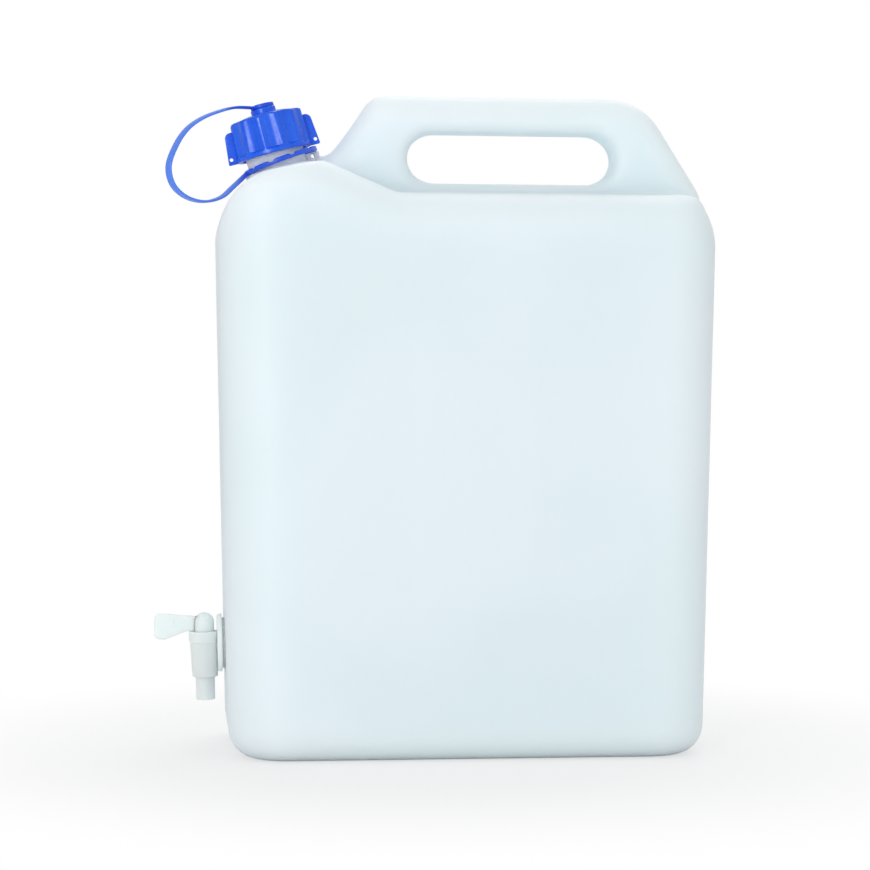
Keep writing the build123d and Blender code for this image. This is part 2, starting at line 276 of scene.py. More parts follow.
def side_x(height):
    """Half of the can's width at a height."""
    return CAN_BASE_HALF + CAN_GROWTH * height


NECK = frame_matrix(
    (NECK_X, 0, SHOULDER_TOP),
    (cos(NECK_TILT), 0, sin(NECK_TILT)),
    (-sin(NECK_TILT), 0, cos(NECK_TILT)),
)
SHOULDER = frame_matrix(
    (NECK_X, 0, SHOULDER_TOP),
    (cos(SHOULDER_SLOPE), 0, sin(SHOULDER_SLOPE)),
    (-sin(SHOULDER_SLOPE), 0, cos(SHOULDER_SLOPE)),
)
LEAN = atan2(CAN_GROWTH, 1)
TAP = frame_matrix(
    (-side_x(TAP_HEIGHT), 0, TAP_HEIGHT),
    (-cos(LEAN), 0, -sin(LEAN)),
    (-sin(LEAN), 0, cos(LEAN)),
)
PLUG = TAP @ Matrix.Translation((BARREL_OFFSET, 0, 0))
ALONG_X = Matrix.Rotation(pi / 2, 4, "Y")
UPRIGHT = Matrix.Rotation(pi / 2, 4, "X")


# Mesh helpers: a part is a list of vertices and a list of faces

def rounded(corners, steps=5):
    """Points of a closed outline whose (x, y, radius) corners are rounded."""
    points = []
    for index, (x, y, radius) in enumerate(corners):
        here = Vector((x, y))
        if radius == 0:
            points.append((x, y))
            continue
        back = (Vector(corners[index - 1][:2]) - here).normalized()
        ahead = (Vector(corners[(index + 1) % len(corners)][:2]) - here).normalized()
        half = back.angle(ahead) / 2
        centre = here + (back + ahead).normalized() * radius / sin(half)
        start = here + back * radius / tan(half) - centre
        end = here + ahead * radius / tan(half) - centre
        first = atan2(start.y, start.x)
        sweep = atan2(start.x * end.y - start.y * end.x, start.dot(end))
        for step in range(steps + 1):
            angle = first + sweep * step / steps
            points.append((centre.x + radius * cos(angle), centre.y + radius * sin(angle)))
    return points


def spread(points, longest, closed=True):
    """The same outline with its long sides cut into even steps."""
    after = points[1:] + points[:1] if closed else points[1:]
    result = []
    for here, ahead in zip(points, after):
        run = Vector(ahead) - Vector(here)
        count = max(1, round(run.length / longest))
        result += [tuple(Vector(here) + run * step / count) for step in range(count)]
    return result if closed else result + points[-1:]


def lathe(profile, segments=96, shape=None):
    """A closed profile of (radius, height) points turned about Z."""
    vertices = []
    for turn in range(segments):
        angle = 2 * pi * turn / segments
        for radius, height in profile:
            if shape:
                radius, height = shape(angle, radius, height)
            vertices.append((radius * cos(angle), radius * sin(angle), height))
    count = len(profile)
    faces = []
    for turn in range(segments):
        here = turn * count
        ahead = (turn + 1) % segments * count
        for index in range(count):
            after = (index + 1) % count
            faces.append((here + index, ahead + index, ahead + after, here + after))
    return vertices, faces


def loop_shifted(loop, distance):
    """A closed loop moved outward by a distance, for a loop that runs anticlockwise."""
    moved = []
    for index, here in enumerate(loop):
        here = Vector(here)
        run_in = (here - Vector(loop[index - 1])).normalized()
        run_out = (Vector(loop[(index + 1) % len(loop)]) - here).normalized()
        normal_in = Vector((run_in.y, -run_in.x))
        normal_out = Vector((run_out.y, -run_out.x))
        normal = (normal_in + normal_out).normalized()
        moved.append(here + normal * distance / max(LEAST_MITRE, normal.dot(normal_in)))
    return moved


def plate(outline, thickness, edge, holes=(), steps=4):
    """A flat plate about the XY plane with rounded edges and round holes (x, y, radius)."""
    loops = [outline]
    for x, y, radius in holes:
        turns = [-2 * pi * step / HOLE_STEPS for step in range(HOLE_STEPS)]
        loops.append([(x + radius * cos(turn), y + radius * sin(turn)) for turn in turns])
    rim = [pi / 2 * step / steps for step in range(steps + 1)]
    levels = [(edge * (1 - sin(t)), -thickness / 2 + edge * (1 - cos(t))) for t in rim]
    levels += [(inset, -height) for inset, height in reversed(levels)]
    mesh = bmesh.new()
    for loop in loops:
        rings = []
        for inset, height in levels:
            ring = loop_shifted(loop, -inset)
            rings.append([mesh.verts.new((point.x, point.y, height)) for point in ring])
        for low, high in zip(rings, rings[1:]):
            for index in range(len(loop)):
                after = (index + 1) % len(loop)
                mesh.faces.new((low[index], low[after], high[after], high[index]))
    for height in (-thickness / 2, thickness / 2):
        edges = [
            e for e in mesh.edges
            if e.is_boundary and abs(e.verts[0].co.z - height) < WELD
        ]
        bmesh.ops.triangle_fill(mesh, edges=edges, use_beauty=True)
    mesh.verts.index_update()
    vertices = [tuple(vertex.co) for vertex in mesh.verts]
    faces = [tuple(vertex.index for vertex in face.verts) for face in mesh.faces]
    mesh.free()
    return vertices, faces


def placed(part, matrix):
    """A part moved by a matrix."""
    vertices, faces = part
    return [tuple(matrix @ Vector(vertex)) for vertex in vertices], faces


def joined(*parts):
    """Several parts as one."""
    vertices = []
    faces = []
    for part_vertices, part_faces in parts:
        start = len(vertices)
        vertices += part_vertices
        faces += [tuple(start + index for index in face) for face in part_faces]
    return vertices, faces


def added(name, data):
    """A new object of the scene."""
    thing = bpy.data.objects.new(name, data)
    bpy.context.scene.collection.objects.link(thing)
    return thing


def welded(data, distance, outward=False):
    """Merges the points of a mesh that meet, and may turn its faces outward."""
    mesh = bmesh.new()
    mesh.from_mesh(data)
    bmesh.ops.remove_doubles(mesh, verts=mesh.verts, dist=distance)
    if outward:
        bmesh.ops.recalc_face_normals(mesh, faces=mesh.faces)
    mesh.to_mesh(data)
    mesh.free()


def part_object(name, part):
    """A part as an object."""
    data = bpy.data.meshes.new(name)
    data.from_pydata(part[0], [], part[1])
    welded(data, WELD, outward=True)
    return added(name, data)


def piece(name, part, body, slot, material, *nodes):
    """A part as a shown piece of a body, which stands for CAD nodes if they are given."""
    thing = part_object(name, part)
    finished(thing, material, PIECE_SHARP)
    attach(thing, body)
    if nodes:
        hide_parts(*nodes)
    return thing


def finished(thing, material, sharp):
    """Smooth shading with crisp edges, and the material of a slot."""
    thing.data.materials.clear()
    thing.data.materials.append(material)
    thing.data.shade_smooth()
    thing.data.set_sharp_from_angle(angle=sharp)


def modified(thing, name, kind, **settings):
    """The thing's mesh after one modifier, as new mesh data, with the thing left as it was."""
    modifier = thing.modifiers.new(name, kind)
    for setting, value in settings.items():
        setattr(modifier, setting, value)
    graph = bpy.context.evaluated_depsgraph_get()
    data = bpy.data.meshes.new_from_object(thing.evaluated_get(graph), depsgraph=graph)
    thing.modifiers.clear()
    return data


def smoothed(thing, rounds):
    """The thing's mesh after some rounds of smoothing."""
    return modified(thing, "smooth", "SMOOTH", factor=0.5, iterations=rounds)


# Materials

def linear(red, green, blue):
    """A linear colour from 0-255 display values."""
    return tuple(
        (value / 255 / 12.92 if value <= 10 else ((value / 255 + 0.055) / 1.055) ** 2.4)
        for value in (red, green, blue)
    ) + (1.0,)


class Nodes:
    """A short way to build a material's node tree."""

    def __init__(self, name):
        self.material = bpy.data.materials.new(name)
        self.material.use_nodes = True
        self.tree = self.material.node_tree
        self.shader = self.tree.nodes["Principled BSDF"]
        self.object_place = self.add("ShaderNodeTexCoord").outputs["Object"]

    def add(self, kind, **settings):
        node = self.tree.nodes.new(kind)
        for name, value in settings.items():
            setattr(node, name, value)
        return node

    def join(self, output, target):
        self.tree.links.new(output, target)

    def noise(self, scale, detail=2.0, roughness=0.5, stretch=(1, 1, 1)):
        mapping = self.add("ShaderNodeMapping")
        mapping.inputs["Scale"].default_value = stretch
        self.join(self.object_place, mapping.inputs["Vector"])
        node = self.add("ShaderNodeTexNoise")
        node.inputs["Scale"].default_value = scale
        node.inputs["Detail"].default_value = detail
        node.inputs["Roughness"].default_value = roughness
        self.join(mapping.outputs["Vector"], node.inputs["Vector"])
        return node.outputs["Fac"]

    def spread(self, value, low, high, to_low, to_high):
        node = self.add("ShaderNodeMapRange")
        node.interpolation_type = "SMOOTHSTEP"
        for name, number in (
            ("From Min", low), ("From Max", high), ("To Min", to_low), ("To Max", to_high)
        ):
            node.inputs[name].default_value = number
        self.join(value, node.inputs["Value"])
        return node.outputs["Result"]

    def mix(self, factor, first, second):
        node = self.add("ShaderNodeMix", data_type="RGBA")
        self.join(factor, node.inputs["Factor"])
        for value, target in ((first, node.inputs["A"]), (second, node.inputs["B"])):
            if isinstance(value, tuple):
                target.default_value = value
            else:
                self.join(value, target)
        return node.outputs["Result"]

    def maths(self, operation, first, second=None):
        node = self.add("ShaderNodeMath", operation=operation)
        for value, target in ((first, node.inputs[0]), (second, node.inputs[1])):
            if value is None:
                continue
            if isinstance(value, (int, float)):
                target.default_value = value
            else:
                self.join(value, target)
        return node.outputs["Value"]

    def bump(self, height, distance, strength=1.0, under=None):
        node = self.add("ShaderNodeBump")
        node.inputs["Strength"].default_value = strength
        node.inputs["Distance"].default_value = distance
        self.join(height, node.inputs["Height"])
        if under is not None:
            self.join(under, node.inputs["Normal"])
        return node.outputs["Normal"]

    def finish(self, colour=None, roughness=None, normal=None, **constants):
        if colour is not None:
            self.join(colour, self.shader.inputs["Base Color"])
        if roughness is not None:
            self.join(roughness, self.shader.inputs["Roughness"])
        if normal is not None:
            self.join(normal, self.shader.inputs["Normal"])
        for name, value in constants.items():
            self.shader.inputs[name.replace("_", " ")].default_value = value
        return self.material


def milky_plastic(name, bright, dull, depth, seam=False, mark=None):
    """Milky polyethylene: cloudy colour and a waxy grain.

    The can has its mould's parting line as a seam, and the lever a small raised gate mark.
    """
    nodes = Nodes(name)
    cloud = nodes.spread(nodes.noise(7.0, 1.0), 0.38, 0.62, 0.0, 1.0)
    colour = nodes.mix(cloud, linear(*bright), linear(*dull))
    grain = nodes.noise(1400.0, 2.0)
    rough = nodes.spread(nodes.noise(60.0, 3.0, 0.6), 0.3, 0.7, 0.46, 0.56)
    normal = nodes.bump(grain, 0.00002, 0.6)
    normal = nodes.bump(nodes.noise(22.0, 2.0, 0.5, (1, 1, 0.25)), 0.0004, 0.35, normal)
    split = nodes.add("ShaderNodeSeparateXYZ")
    nodes.join(nodes.object_place, split.inputs["Vector"])
    if seam:
        off = nodes.maths("ABSOLUTE", split.outputs["Y"])
        ridge = nodes.spread(off, 0.0002, 0.0007, 1.0, 0.0)
        normal = nodes.bump(ridge, 0.00035, 1.0, normal)
    if mark:
        along = nodes.maths("ABSOLUTE", nodes.maths("SUBTRACT", split.outputs["X"], mark.x))
        upward = nodes.maths("ABSOLUTE", nodes.maths("SUBTRACT", split.outputs["Z"], mark.z))
        across = nodes.spread(along, MARK_WIDTH / 4, MARK_WIDTH / 2, 1.0, 0.0)
        height = nodes.spread(upward, MARK_LENGTH / 2 - MARK_WIDTH / 2, MARK_LENGTH / 2, 1.0, 0.0)
        normal = nodes.bump(nodes.maths("MULTIPLY", across, height), MARK_RISE, 1.0, normal)
    return nodes.finish(
        colour, rough, normal,
        Subsurface_Weight=0.9, Subsurface_Scale=depth, Subsurface_Radius=(1.0, 1.0, 1.0),
        IOR=1.51, Specular_IOR_Level=0.3,
    )


def blue_plastic(name, main, worn, gloss, painted_light_tint=None):
    """Glossy blue polypropylene with a faint flow pattern, and a painted-light tint: paler on the band
    away from the neck, as painted light shining through it, and deeper on the thick ring, as painted
    shade.
    """
    nodes = Nodes(name)
    flow = nodes.spread(nodes.noise(55.0, 2.0), 0.35, 0.65, 0.0, 1.0)
    colour = nodes.mix(flow, linear(*main), linear(*worn))
    # Painted light: the band away from the neck ring turns paler, for light shining through it, and
    # the ring keeps the deeper blue, for its shade
    if painted_light_tint:
        to_neck = nodes.add("ShaderNodeMapping", vector_type="TEXTURE")
        to_neck.inputs["Location"].default_value = NECK.translation
        to_neck.inputs["Rotation"].default_value = NECK.to_euler()
        nodes.join(nodes.object_place, to_neck.inputs["Vector"])
        flat = nodes.add("ShaderNodeVectorMath", operation="MULTIPLY")
        flat.inputs[1].default_value = (1, 1, 0)
        nodes.join(to_neck.outputs["Vector"], flat.inputs[0])
        away = nodes.add("ShaderNodeVectorMath", operation="LENGTH")
        nodes.join(flat.outputs["Vector"], away.inputs[0])
        painted_light_share = nodes.spread(away.outputs["Value"], 0.023, 0.032, 0.0, 1.0)
        colour = nodes.mix(painted_light_share, colour, linear(*painted_light_tint))
    rough = nodes.spread(nodes.noise(240.0, 3.0, 0.6), 0.3, 0.7, gloss, gloss + 0.1)
    normal = nodes.bump(nodes.noise(1600.0, 2.0), 0.00002, 0.4)
    return nodes.finish(
        colour, rough, normal,
        Subsurface_Weight=0.1, Subsurface_Scale=0.002, Subsurface_Radius=(1.0, 1.0, 1.0),
        IOR=1.49, Specular_IOR_Level=0.42,
    )


def pale_rubber(name):
    """Pale silicone with a soft speckle, its colour painted paler to offset the shade where the washer
    sits in the gap by the can.
    """
    nodes = Nodes(name)
    speckle = nodes.spread(nodes.noise(420.0, 3.0), 0.4, 0.6, 0.0, 1.0)
    colour = nodes.mix(speckle, linear(238, 240, 237), linear(228, 231, 228))
    rough = nodes.spread(nodes.noise(160.0, 2.0), 0.3, 0.7, 0.5, 0.62)
    normal = nodes.bump(nodes.noise(900.0, 2.0), 0.00003, 0.5)
    return nodes.finish(
        colour, rough, normal, Subsurface_Weight=0.6, Subsurface_Scale=0.004,
        Subsurface_Radius=(1.0, 1.0, 1.0),
    )


TAP_COLOURS = ((233, 242, 241), (229, 239, 238))
GATE_MARK = PLUG @ Vector((MARK_X, 0, MARK_Z))
CAN_PLASTIC = milky_plastic("can_plastic", (228, 238, 243), (224, 236, 240), 0.03, seam=True)
# Painted light: the neck's plastic is a lighter copy of the can's, to offset the shade under the cap
NECK_PLASTIC = milky_plastic("neck_plastic", (232, 241, 248), (228, 238, 244), 0.006)
TAP_PLASTIC = milky_plastic("tap_plastic", *TAP_COLOURS, 0.004)
KEY_PLASTIC = milky_plastic("key_plastic", *TAP_COLOURS, 0.004, mark=GATE_MARK)
CAP_PLASTIC = blue_plastic("cap_plastic", (16, 90, 226), (26, 98, 232), 0.2)
# The strap's last colour is painted light: the paler band away from the ring, against the ring's
# painted shade
STRAP_PLASTIC = blue_plastic("strap_plastic", (22, 78, 214), (32, 88, 220), 0.3, (84, 132, 238))
SEAL_RUBBER = pale_rubber("seal_rubber")


# Can

def cylinder_part(radius, low, high, segments=64):
    """A closed cylinder about Z between two heights."""
    return lathe([(0, low), (radius, low), (radius, high), (0, high)], segments)


def can_shell():
    """The can's moulded outside with its creases softened, up to the neck's collar."""
    name = "can_shell"
    shell = added(name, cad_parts["can_body"].data.copy())
    welded(shell.data, CAD_WELD)
    cut_neck_off(shell)
    plug_holes(shell)
    shell.data = modified(shell, "remesh", "REMESH", mode="VOXEL", voxel_size=CAN_VOXEL)
    keep_outside(shell.data)
    shell.data = smoothed(shell, CAN_SMOOTHING)
    fill_creases(shell)
    for centre, reach, move in OUTLINE_PUSHES:
        push(shell, centre, reach, move)
    shell.data.name = name
    finished(shell, CAN_PLASTIC, SHELL_SHARP)
    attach(shell, "can")
    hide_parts("can_body")
    return shell


def cut_neck_off(shell):
    """Takes the neck off the shell, down to the shoulder."""
    cutter = part_object(
        "neck_cutter", placed(cylinder_part(NECK_CUT_RADIUS, 0, NECK_CUT_HEIGHT), SHOULDER)
    )
    shell.data = modified(
        shell, "cut", "BOOLEAN", operation="DIFFERENCE", solver="EXACT", object=cutter
    )
    bpy.data.objects.remove(cutter)


def plug_holes(shell):
    """Closes the holes under the neck and behind the tap, so that the outside is one skin."""
    plugs = joined(
        placed(cylinder_part(NECK_PLUG_RADIUS, -NECK_PLUG_DEPTH, 0), SHOULDER),
        placed(
            cylinder_part(TAP_PLUG_RADIUS, -TAP_PLUG_DEPTH, -TAP_PLUG_SETBACK), TAP @ ALONG_X
        ),
    )
    extra = bpy.data.meshes.new("plugs")
    extra.from_pydata(plugs[0], [], plugs[1])
    mesh = bmesh.new()
    mesh.from_mesh(shell.data)
    mesh.from_mesh(extra)
    mesh.to_mesh(shell.data)
    mesh.free()
    welded(shell.data, WELD)


def fill_creases(shell):
    """Fills the hollow creases around the handle's roots and leaves every raised edge."""
    softened = smoothed(shell, CREASE_SMOOTHING)
    normals = [vertex.normal.copy() for vertex in shell.data.vertices]
    for vertex, soft, normal in zip(shell.data.vertices, softened.vertices, normals):
        upward = (vertex.co.z - CREASE_LOW) / (CREASE_HIGH - CREASE_LOW)
        rightward = (vertex.co.x - CREASE_LEFT) / (CREASE_RIGHT - CREASE_LEFT)
        share = min(1.0, max(0.0, upward)) * min(1.0, max(0.0, rightward))
        lift = max(0.0, (soft.co - vertex.co).dot(normal))
        vertex.co += normal * lift * share
    bpy.data.meshes.remove(softened)
    shell.data = smoothed(shell, CREASE_EVENING)


def push(shell, centre, reach, move):
    """Moves the surface around a point by a vector that fades out over the reach."""
    for vertex in shell.data.vertices:
        share = 1.0
        for place, middle, limit in zip(vertex.co, centre, reach):
            share *= max(0.0, 1 - ((place - middle) / limit) ** 2) ** 2
        vertex.co += Vector(move) * share


def keep_outside(data):
    """Deletes every island of a mesh but the one that reaches furthest down."""
    mesh = bmesh.new()
    mesh.from_mesh(data)
    seed = min(mesh.verts, key=lambda vertex: vertex.co.z)
    reached = {seed}
    front = [seed]
    while front:
        vertex = front.pop()
        for edge in vertex.link_edges:
            other = edge.other_vert(vertex)
            if other not in reached:
                reached.add(other)
                front.append(other)
    rest = [vertex for vertex in mesh.verts if vertex not in reached]
    bmesh.ops.delete(mesh, geom=rest, context="VERTS")
    mesh.to_mesh(data)
    mesh.free()


def thread_ridge(angle, height, pitch, low, high, depth):
    """Height of a thread's ridge at a point of a round wall."""
    turn = (height - low - pitch * angle / (2 * pi)) / pitch
    off = abs(turn - round(turn)) * pitch
    crest = min(1.0, max(0.0, (THREAD_FOOT * pitch - off) / (THREAD_FLANK * pitch)))
    fade = min(1.0, max(0.0, min(height - low, high - height) / pitch * 2))
    return depth * crest * fade


def neck_shape(angle, radius, height):
    """The neck's wall with its thread."""
    if abs(radius - NECK_RADIUS) < ON_WALL:
        radius += thread_ridge(
            angle, height, THREAD_PITCH, THREAD_LOW, THREAD_HIGH, THREAD_DEPTH
        )
    return radius, height


def can_neck():
    """The neck with its collar, thread and seal lug."""
    wall = spread(rounded([
        (NECK_BORE, -COLLAR_DEPTH, 0),
        (COLLAR_RADIUS, -COLLAR_DEPTH, 0),
        (COLLAR_RADIUS, COLLAR_HEIGHT, 0.0009),
        (NECK_RADIUS, COLLAR_HEIGHT, 0.0006),
        (NECK_RADIUS, NECK_HEIGHT, 0.0007),
        (NECK_BORE, NECK_HEIGHT, 0.0005),
    ]), 0.0004)
    neck = lathe(wall, 144, neck_shape)
    middle = (NECK_BORE + NECK_RADIUS) / 2
    lug = plate(
        rounded([
            (middle, -LUG_ROOT, 0),
            (COLLAR_RADIUS, -LUG_ROOT, 0.002),
            (LUG_REACH, LUG_HEIGHT - LUG_LIP, 0.0012),
            (LUG_REACH, LUG_HEIGHT, 0.0008),
            (middle, LUG_HEIGHT, 0),
        ]),
        LUG_THICKNESS, 0.0006, holes=[(LUG_HOLE_X, LUG_HOLE_Z, HOLE_RADIUS)],
    )
    part = joined(neck, placed(lug, UPRIGHT))
    return piece("can_neck", placed(part, NECK), "can", "can", NECK_PLASTIC)


# Cap

def soft_min(first, second, softness):
    """The lesser of two values, rounded where they meet."""
    share = max(softness - abs(first - second), 0) / softness
    return min(first, second) - share * share * softness / 4


def cap_shape(angle, radius, height):
    """The cap's skirt with its flutes outside and its thread inside."""
    if abs(radius - CAP_BORE) < ON_WALL:
        ridge = thread_ridge(
            angle, height, THREAD_PITCH,
            CAP_BASE + CAP_THREAD_START, CAP_CEILING - CAP_THREAD_END, CAP_THREAD_DEPTH,
        )
        return radius - ridge, height
    if radius < CAP_BORE or height > CAP_TOP:
        return radius, height
    step = 2 * pi / FLUTE_COUNT
    off = (angle + step / 2) % step - step / 2
    centre = CAP_RIM_RADIUS - FLUTE_DEPTH + FLUTE_RADIUS
    side = centre * sin(off)
    flute = centre * cos(off) - sqrt(max(0.0, FLUTE_RADIUS ** 2 - side ** 2))
    fluted = soft_min(radius, flute, FLUTE_SOFTNESS)
    rise = min(1.0, max(0.0, (height - CAP_BASE - RIM_BAND) / RIM_BLEND))
    share = rise * rise * (3 - 2 * rise)
    return radius + (fluted - radius) * share, height


def dome(radius, low, high, steps):
    """Points of a spherical dome's section, from its rim to its top."""
    rise = high - low
    ball = (radius ** 2 + rise ** 2) / (2 * rise)
    half = asin(radius / ball)
    angles = [half * (1 - step / steps) for step in range(steps + 1)]
    return [(ball * sin(angle), high - ball + ball * cos(angle)) for angle in angles]


def cap_wing():
    """One flat grip wing with its seal hole, in the neck's frame."""
    inner = (CAP_BORE + CAP_CROWN_RADIUS) / 2
    wing = plate(
        rounded([
            (inner, CAP_BASE, 0),
            (WING_REACH, CAP_BASE, 0.0008),
            (WING_TOP_REACH, WING_TOP, WING_CORNER),
            (inner, WING_TOP, 0),
        ]),
        WING_THICKNESS, 0.0005, holes=[(WING_HOLE_X, WING_HOLE_Z, HOLE_RADIUS)],
    )
    return placed(wing, UPRIGHT)


def cap_knob():
    """The knob on the crown: seat, stem and head that hold the strap's eyelet."""
    seat = CAP_TOP + KNOB_HEIGHT
    stem = seat + EYELET_THICKNESS - EYELET_RECESS + 2 * SEAT_GAP
    return lathe(rounded([
        (0, CAP_CROWN_HEIGHT, 0),
        (KNOB_RADIUS, CAP_CROWN_HEIGHT, 0),
        (KNOB_RADIUS, seat, 0.0006),
        (STEM_RADIUS, seat, 0.0002),
        (STEM_RADIUS, stem, 0.0001),
        (HEAD_RADIUS, stem, 0.0002),
        (HEAD_RADIUS, stem + HEAD_HEIGHT, 0.0007),
        (0, stem + HEAD_HEIGHT, 0),
    ]), 72)


def screw_cap():
    """The cap with its flutes, crown, wings and knob."""
    skirt = spread(rounded([
        (CEILING_START, CAP_CEILING, 0),
        (CAP_BORE, CAP_CEILING, 0),
        (CAP_BORE, CAP_BASE, 0.0004),
        (CAP_RIM_RADIUS, CAP_BASE, 0.0005),
        (CAP_CROWN_RADIUS, CAP_CROWN_HEIGHT, CAP_CORNER),
        (CAP_CROWN_RADIUS - CROWN_SLOPE_RUN, CAP_CROWN_HEIGHT + CROWN_SLOPE_RISE, 0),
    ])[:-1], CAP_WALL_STEP, closed=False)
    wall = skirt + dome(CAP_CROWN_RADIUS - CAP_CORNER, CAP_CROWN_HEIGHT, CAP_TOP, 20)[1:]
    shell = lathe(wall + [(0, CAP_CEILING)], 288, cap_shape)
    wing = cap_wing()
    part = joined(shell, wing, placed(wing, Matrix.Rotation(pi, 4, "Z")), cap_knob())
    return piece("cap_shell", placed(part, NECK), "cap", "cap", CAP_PLASTIC, "screw_cap")


# Strap

def ring_frame():
    """The frame of the loose neck ring, tilted to rest on the collar and on the lug."""
    left_seat = COLLAR_HEIGHT + TURNING_GAP
    right_seat = LUG_HEIGHT + TURNING_GAP
    tilt = atan2(right_seat - left_seat, 2 * RING_BORE + RING_WALL)
    lift = (left_seat + right_seat + RING_HEIGHT) / 2
    inner = RING_BORE * cos(tilt) - RING_HEIGHT / 2 * sin(tilt)
    shift = inner - NECK_RADIUS - TURNING_GAP
    place = Matrix.Translation((shift, 0, lift)) @ Matrix.Rotation(-tilt, 4, "Y")
    return NECK @ place


def ring_shape(angle, radius, height):
    """The neck ring's wall with notches in its upper edge."""
    if height > 0:
        step = 2 * pi / RING_NOTCHES
        off = abs((angle + step / 2) % step - step / 2) * RING_BORE
        edge = (RING_NOTCH_WIDTH + RING_NOTCH_RAMP) / 2
        fall = min(1.0, max(0.0, (edge - off) / RING_NOTCH_RAMP))
        height -= RING_NOTCH_DEPTH * fall * height / (RING_HEIGHT / 2)
    return radius, height


def smooth_route(points, steps):
    """Points of a smooth curve through all the given points."""
    padded = [2 * points[0] - points[1], *points, 2 * points[-1] - points[-2]]
    route = []
    for a, b, c, d in zip(padded, padded[1:], padded[2:], padded[3:]):
        for step in range(steps):
            t = step / steps
            bend = (2 * a - 5 * b + 4 * c - d) * t ** 2 + (3 * b - a - 3 * c + d) * t ** 3
            route.append((2 * b + (c - a) * t + bend) / 2)
    return route + [points[-1]]


def band_part(route, across):
    """A flat band with rounded edges along a route in one upright plane."""
    half_width = BAND_WIDTH / 2
    half_thickness = BAND_THICKNESS / 2
    section = rounded([
        (-half_width, -half_thickness, BAND_EDGE),
        (half_width, -half_thickness, BAND_EDGE),
        (half_width, half_thickness, BAND_EDGE),
        (-half_width, half_thickness, BAND_EDGE),
    ], 3)
    vertices = []
    for index, here in enumerate(route):
        ahead = route[min(index + 1, len(route) - 1)]
        behind = route[max(index - 1, 0)]
        normal = (ahead - behind).normalized().cross(across)
        vertices += [tuple(here + across * x + normal * y) for x, y in section]
    count = len(section)
    faces = []
    for index in range(len(route) - 1):
        for side in range(count):
            here = index * count
            after = (side + 1) % count
            faces.append((here + side, here + after, here + count + after, here + count + side))
    faces.append(tuple(reversed(range(count))))
    faces.append(tuple(range(len(vertices) - count, len(vertices))))
    return vertices, faces


def neck_ring():
    """The notched ring that lies loose round the neck, in its own frame."""
    outer = RING_BORE + RING_WALL
    return lathe(rounded([
        (RING_BORE, -RING_HEIGHT / 2, 0.0003),
        (outer, -RING_HEIGHT / 2, 0.0005),
        (outer, RING_HEIGHT / 2, 0.0005),
        (RING_BORE, RING_HEIGHT / 2, 0.0003),
    ], 3), 200, ring_shape)


def eyelet(bottom, top):
    """The eyelet between two heights, with the recess that the knob's head sits in."""
    stem = STEM_RADIUS + TURNING_GAP
    head = HEAD_RADIUS + TURNING_GAP
    return lathe(rounded([
        (stem, bottom, 0.0002),
        (EYELET_RADIUS, bottom, 0.0004),
        (EYELET_RADIUS, top, 0.0005),
        (head, top, 0.0003),
        (head, top - EYELET_RECESS, 0),
        (stem, top - EYELET_RECESS, 0.0002),
    ], 3), 72)


def cap_strap():
    """The strap: notched neck ring, bowed band and eyelet."""
    ring_place = ring_frame()
    bottom = CAP_TOP + KNOB_HEIGHT + SEAT_GAP
    top = bottom + EYELET_THICKNESS
    centre = NECK @ Vector((0, 0, (bottom + top) / 2))
    middle = RING_BORE + RING_WALL / 2
    tab = ring_place @ Vector((-middle * cos(RING_TAB_ANGLE), -middle * sin(RING_TAB_ANGLE), 0))
    reach = Vector((tab.x - centre.x, tab.y - centre.y, 0))
    outward = reach.normalized()
    across = outward.cross(Vector((0, 0, 1)))
    rim = (EYELET_RADIUS + HEAD_RADIUS) / 2
    ends = [(rim, rim * tan(NECK_TILT) * outward.x), (reach.length, tab.z - centre.z)]
    bow = [ends[0], *STRAP_BOW, ends[1]]
    control = [centre + outward * run + Vector((0, 0, rise)) for run, rise in bow]
    band = band_part(smooth_route(control, BAND_STEPS), across)
    part = joined(placed(neck_ring(), ring_place), placed(eyelet(bottom, top), NECK), band)
    strap = piece("strap", part, "can", "strap", STRAP_PLASTIC, "cap_strap")
    strap.parent = None
    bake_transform(strap)
    return strap


# Tap

def tail_shape(angle, radius, height):
    """The tap's tail with its thread."""
    if abs(radius - TAIL_RADIUS) < ON_WALL:
        ridge = thread_ridge(angle, height, TAIL_PITCH, -TAIL_LENGTH, FLANGE_LOW, TAIL_DEPTH)
        radius -= TAIL_DEPTH - ridge
    return radius, height


def tap_inlet():
    """The tap's threaded tail, flange and inlet, about its own axis."""
    tail = lathe(spread(rounded([
        (INLET_RADIUS, -TAIL_LENGTH, 0),
        (TAIL_RADIUS, -TAIL_LENGTH, 0.0008),
        (TAIL_RADIUS, FLANGE_LOW, 0),
        (INLET_RADIUS, FLANGE_LOW, 0),
    ]), 0.0004), 72, tail_shape)
    flange = lathe(rounded([
        (INLET_RADIUS, FLANGE_LOW, 0),
        (FLANGE_RADIUS, FLANGE_LOW, 0.0004),
        (FLANGE_RADIUS, FLANGE_LOW + FLANGE_THICKNESS, 0.0018),
        (INLET_RADIUS, FLANGE_LOW + FLANGE_THICKNESS, 0),
    ], 8), 96)
    pipe = lathe([
        (INLET_RADIUS, FLANGE_LOW),
        (INLET_RADIUS + INLET_WALL, FLANGE_LOW),
        (INLET_RADIUS + INLET_WALL, BARREL_OFFSET - SEAT_TOP_RADIUS),
        (INLET_RADIUS, BARREL_OFFSET - SEAT_TOP_RADIUS),
    ], 48)
    return joined(tail, flange, pipe)


